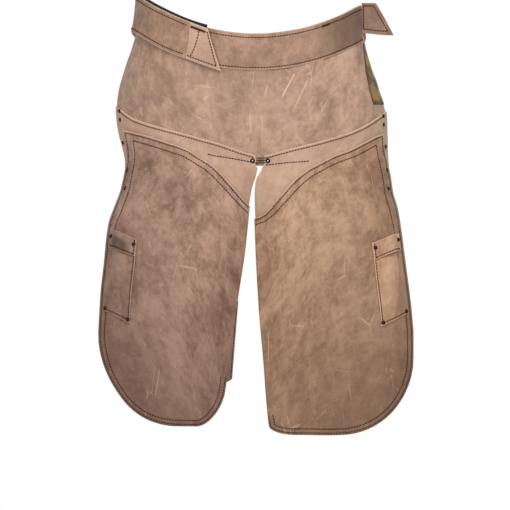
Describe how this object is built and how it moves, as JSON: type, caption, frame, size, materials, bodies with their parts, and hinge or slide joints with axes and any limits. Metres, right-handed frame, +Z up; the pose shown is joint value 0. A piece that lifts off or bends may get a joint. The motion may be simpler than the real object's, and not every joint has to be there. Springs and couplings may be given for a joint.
{
  "type": "welding apron",
  "caption": "Split-leg leather work apron with a curved waistband, pointed hook-and-loop tabs, thigh straps and narrow tool pockets on the outer thighs.",
  "frame": {"origin": "centre of the waist, level with the middle of the waistband at the front", "axes": "+X to the wearer's left, +Y to the wearer's back, +Z up"},
  "size_m": [0.4746, 0.237, 0.662],
  "materials": {
    "leather": "oiled, mottled nubuck",
    "smooth_leather": "oiled, smooth",
    "hook_and_loop": "matt black pile",
    "label": "dark olive, semi-matt",
    "rivet": "antique brown"
  },
  "bodies": {
    "hips": {"hip_panel": "leather", "hip_label": "label", "waistband": "smooth_leather", "waistband_lining": "leather", "band_loop_pad": "hook_and_loop", "belt_end": "smooth_leather", "crotch_backing": "leather", "right_yoke": "smooth_leather", "left_yoke": "smooth_leather", "right_crotch_rivet": "rivet", "left_crotch_rivet": "rivet", "right_yoke_rivet_1": "rivet", "right_yoke_rivet_2": "rivet", "left_yoke_rivet_1": "rivet", "left_yoke_rivet_2": "rivet"},
    "right_leg": {"right_leg_panel": "smooth_leather", "right_wear_patch": "leather", "right_pocket": "leather", "right_pocket_band": "leather", "right_thigh_strap": "leather", "right_strap_hook_pad": "hook_and_loop", "right_strap_loop_pad": "hook_and_loop", "right_yoke_rivet_3": "rivet", "right_strap_rivet_1": "rivet", "right_strap_rivet_2": "rivet", "right_pocket_rivet_1": "rivet", "right_pocket_rivet_2": "rivet", "right_pocket_rivet_3": "rivet", "right_pocket_rivet_4": "rivet"},
    "left_leg": {"left_leg_panel": "smooth_leather", "left_wear_patch": "leather", "left_pocket": "leather", "left_pocket_band": "leather", "left_thigh_strap": "leather", "left_strap_hook_pad": "hook_and_loop", "left_strap_loop_pad": "hook_and_loop", "left_yoke_rivet_3": "rivet", "left_strap_rivet_1": "rivet", "left_strap_rivet_2": "rivet", "left_pocket_rivet_1": "rivet", "left_pocket_rivet_2": "rivet", "left_pocket_rivet_3": "rivet", "left_pocket_rivet_4": "rivet"},
    "right_tab": {"right_tab": "smooth_leather", "right_tab_hook_pad": "hook_and_loop"},
    "left_tab": {"left_tab": "smooth_leather", "left_tab_hook_pad": "hook_and_loop"},
    "belt": {"back_belt": "smooth_leather", "belt_loop_pad": "hook_and_loop"},
    "right_strap_tail": {"right_strap_tail": "leather"},
    "left_strap_tail": {"left_strap_tail": "leather"}
  },
  "joints": [
    {"name": "right_leg_swing", "type": "hinge", "parent": "hips", "child": "right_leg", "pos_m": [-0.1517, -0.0892, -0.1267], "axis": [-0.8451, 0.4804, 0.2345], "range_deg": [0, 50]},
    {"name": "left_leg_swing", "type": "hinge", "parent": "hips", "child": "left_leg", "pos_m": [0.1337, -0.0981, -0.1388], "axis": [-0.8468, -0.4758, -0.2378], "range_deg": [0, 50]},
    {"name": "right_tab_peel", "type": "hinge", "parent": "hips", "child": "right_tab", "pos_m": [-0.1014, -0.099, 0.0178], "axis": [-0.1516, -0.065, -0.9863], "range_deg": [0, 150]},
    {"name": "left_tab_fold", "type": "hinge", "parent": "hips", "child": "left_tab", "pos_m": [0.1624, -0.0234, 0.052], "axis": [0, 0, 1], "range_deg": [-60, 25]},
    {"name": "belt_swing", "type": "hinge", "parent": "hips", "child": "belt", "pos_m": [-0.1834, 0.004, 0.0596], "axis": [0.132, 0, 0.9912], "range_deg": [0, 75]},
    {"name": "right_tail_swing", "type": "hinge", "parent": "right_leg", "child": "right_strap_tail", "pos_m": [-0.0413, -0.0919, -0.3726], "axis": [0.7547, 0.6561, 0], "range_deg": [0, 40]},
    {"name": "left_tail_swing", "type": "hinge", "parent": "left_leg", "child": "left_strap_tail", "pos_m": [0.031, -0.0982, -0.3727], "axis": [0.8353, -0.5498, 0], "range_deg": [0, 40]}
  ]
}
